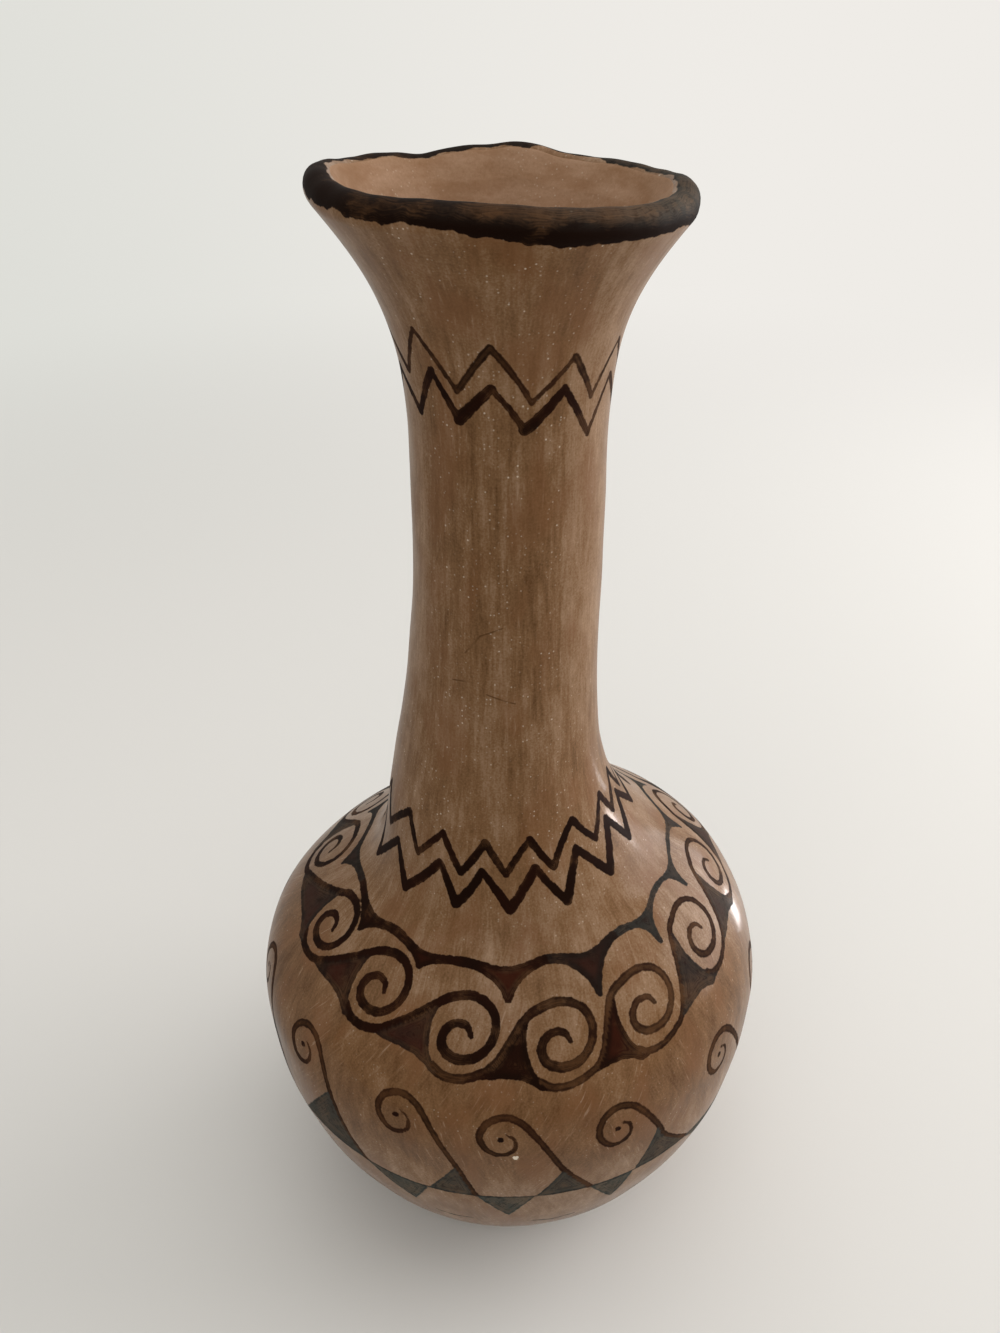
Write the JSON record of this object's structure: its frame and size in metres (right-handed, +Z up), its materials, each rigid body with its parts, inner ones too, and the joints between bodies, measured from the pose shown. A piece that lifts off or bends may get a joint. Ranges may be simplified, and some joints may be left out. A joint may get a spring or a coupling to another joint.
{
  "type": "pottery vase",
  "caption": "Hand-built earthenware vase with a round belly, long neck and flared mouth, burnished brown with dark painted zigzag and scroll bands.",
  "frame": {"origin": "centre of the foot, on the surface that the vase stands on", "axes": "+Z up along the vase's axis, -Y towards the viewer of the picture, +X to the viewer's right"},
  "size_m": [0.152, 0.152, 0.3091],
  "materials": {
    "burnished_clay": "burnished low-fired earthenware, satin, brush-streaked, with dark painted bands",
    "dark_slip": "dark brown-black painted slip on the lip, satin"
  },
  "bodies": {
    "root": {"base_dish": "burnished_clay", "belly_coil_1": "burnished_clay", "belly_coil_2": "burnished_clay", "belly_coil_3": "burnished_clay", "belly_coil_4": "burnished_clay", "shoulder_coil_1": "burnished_clay", "shoulder_coil_2": "burnished_clay", "shoulder_coil_3": "burnished_clay", "neck_coil_1": "burnished_clay", "neck_coil_2": "burnished_clay", "neck_coil_3": "burnished_clay", "neck_coil_4": "burnished_clay", "neck_coil_5": "burnished_clay", "neck_coil_6": "burnished_clay", "neck_coil_7": "burnished_clay", "flare_coil_1": "burnished_clay", "flare_coil_2": "burnished_clay", "lip_coil": "dark_slip"}
  },
  "joints": []
}
